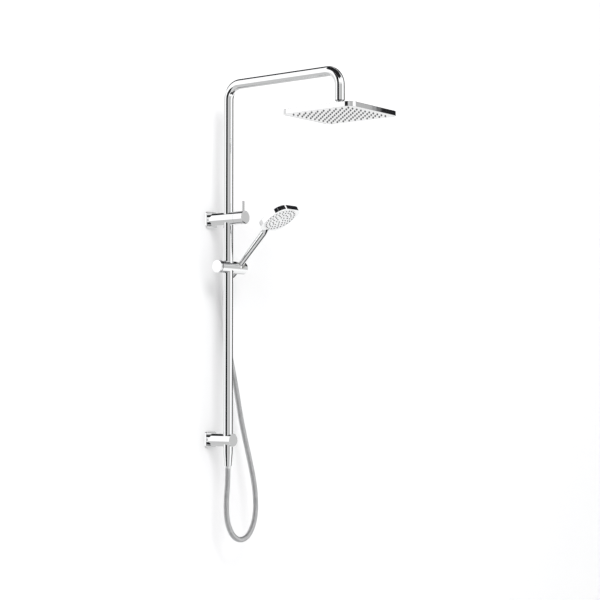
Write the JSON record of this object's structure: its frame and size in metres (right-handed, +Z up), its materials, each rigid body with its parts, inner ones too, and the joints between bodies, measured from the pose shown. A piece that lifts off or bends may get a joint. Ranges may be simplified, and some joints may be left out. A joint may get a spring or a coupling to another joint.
{
  "type": "shower column",
  "caption": "Chrome shower column: square overhead shower on a bent riser, lever diverter, slide rail with slider, square handset on a metal hose.",
  "frame": {"origin": "centre of the upper wall flange's back face, on the water inlet's axis", "axes": "+X to the right for a person facing the wall, +Y into the wall, +Z up"},
  "size_m": [0.2199, 0.545, 1.1724],
  "materials": {
    "chrome_brass": "polished chrome plate on brass",
    "plated_plastic": "polished chrome plate on plastic",
    "steel": "stainless steel, polished where it shows",
    "brass": "machined",
    "rubber": "moulded",
    "silicone": "soft moulded silicone",
    "nylon": "moulded",
    "ceramic": "lapped ceramic",
    "hose_metal": "wound metal jacket",
    "pale_plastic": "pale, smooth"
  },
  "bodies": {
    "column": {"upper_flange": "chrome_brass", "lower_flange": "chrome_brass", "inlet_nipple": "brass", "inlet_filter": "steel", "diverter_body": "chrome_brass", "tube_seals": "rubber", "riser_arm": "chrome_brass", "rail_tube": "chrome_brass", "lower_bracket_body": "chrome_brass", "lower_end_cap": "chrome_brass", "lower_wall_spigot": "brass", "lower_wall_screw": "steel", "bracket_grub_screws": "steel", "cartridge_housing": "brass", "cartridge_seal": "rubber", "ceramic_disc_fixed": "ceramic", "cartridge_nut": "brass", "outlet_nipple": "brass", "hose_nut_lower": "chrome_brass", "hose_washer_lower": "rubber", "hose_ferrule_lower": "brass", "swivel_collar": "chrome_brass", "swivel_seal": "rubber", "swivel_retainer": "brass", "hose": "hose_metal"},
    "diverter_handle": {"handle_hub": "chrome_brass", "handle_cap": "chrome_brass", "lever_pin": "chrome_brass", "handle_grub_screw": "steel", "diverter_spindle": "brass", "ceramic_disc_turning": "ceramic"},
    "slider_bushes": {"slider_bushes": "nylon", "hose_top": "hose_metal"},
    "slider": {"slider_body": "chrome_brass", "socket_liner": "nylon", "button_spring": "steel", "hose_ferrule_upper": "brass"},
    "release_button": {"release_button": "chrome_brass", "brake_yoke": "steel", "brake_pad": "nylon"},
    "handset": {"handset_body": "plated_plastic", "handset_face": "pale_plastic", "handset_nozzle_mat": "silicone", "handset_rim": "plated_plastic", "handset_flow_ring": "nylon", "hose_nut_upper": "chrome_brass", "hose_washer_upper": "rubber"},
    "swivel_seat": {"swivel_seat_ring": "nylon"},
    "overhead_head": {"ball_stud": "chrome_brass", "overhead_flow_ring": "nylon", "overhead_shell": "steel", "overhead_lock_nut": "brass", "overhead_face": "steel", "overhead_nozzle_mat": "silicone", "overhead_gasket": "rubber"}
  },
  "joints": [
    {"name": "diverter_turn", "type": "hinge", "parent": "column", "child": "diverter_handle", "pos_m": [0, -0.1, 0], "axis": [0, 1, 0], "range_deg": [-90, 0]},
    {"name": "slider_slide", "type": "slide", "parent": "column", "child": "slider_bushes", "axis": [0, 0, 1], "range_m": [-0.3, 0.02], "deforming": ["hose"]},
    {"name": "slider_turn", "type": "hinge", "parent": "slider_bushes", "child": "slider", "pos_m": [0, -0.06, -0.123], "axis": [0, 0, 1], "range_deg": [-45, 8], "deforming": ["hose_top"]},
    {"name": "button_press", "type": "slide", "parent": "slider", "child": "release_button", "axis": [1, 0, 0], "range_m": [0, 0.002], "stiffness_N_per_m": 5000, "springref_m": -0.004, "deforming": ["button_spring"]},
    {"name": "handset_swivel", "type": "hinge", "parent": "slider", "child": "handset", "pos_m": [0.0375, -0.06, -0.123], "axis": [0, -0.7071, 0.7071], "range_deg": [-90, 90]},
    {"name": "overhead_turn", "type": "hinge", "parent": "column", "child": "swivel_seat", "pos_m": [0, -0.41, 0.2695], "axis": [0, 0, 1], "continuous": true},
    {"name": "overhead_tilt", "type": "hinge", "parent": "swivel_seat", "child": "overhead_head", "pos_m": [0, -0.41, 0.2695], "axis": [1, 0, 0], "range_deg": [-8, 8]}
  ]
}
